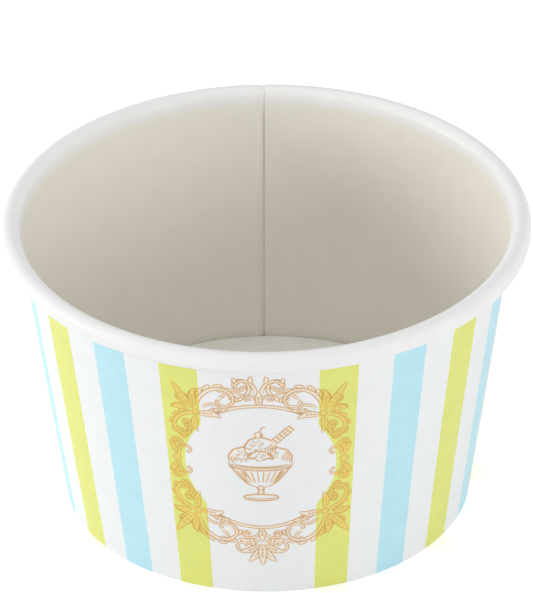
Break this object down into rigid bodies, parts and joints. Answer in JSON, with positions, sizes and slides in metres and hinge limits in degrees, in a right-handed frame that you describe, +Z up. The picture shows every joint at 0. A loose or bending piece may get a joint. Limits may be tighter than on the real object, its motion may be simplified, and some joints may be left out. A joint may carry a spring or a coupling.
{
  "type": "paper dessert cup",
  "caption": "Tapered round paper cup for ice cream, with a rolled rim, a folded foot, a recessed base disc, striped print and a scrolled medallion.",
  "frame": {"origin": "centre of the foot ring, on the surface that the cup stands on", "axes": "+Z up along the cup's axis, -Y out through the medallion, +Y out through the glued side seam"},
  "size_m": [0.096, 0.096, 0.057],
  "materials": {
    "printed_board": "satin coated, striped in lime and pale blue with a tan medallion",
    "plain_board": "satin coated, unprinted"
  },
  "bodies": {
    "root": {"sidewall": "printed_board", "base_disc": "plain_board"}
  },
  "joints": []
}
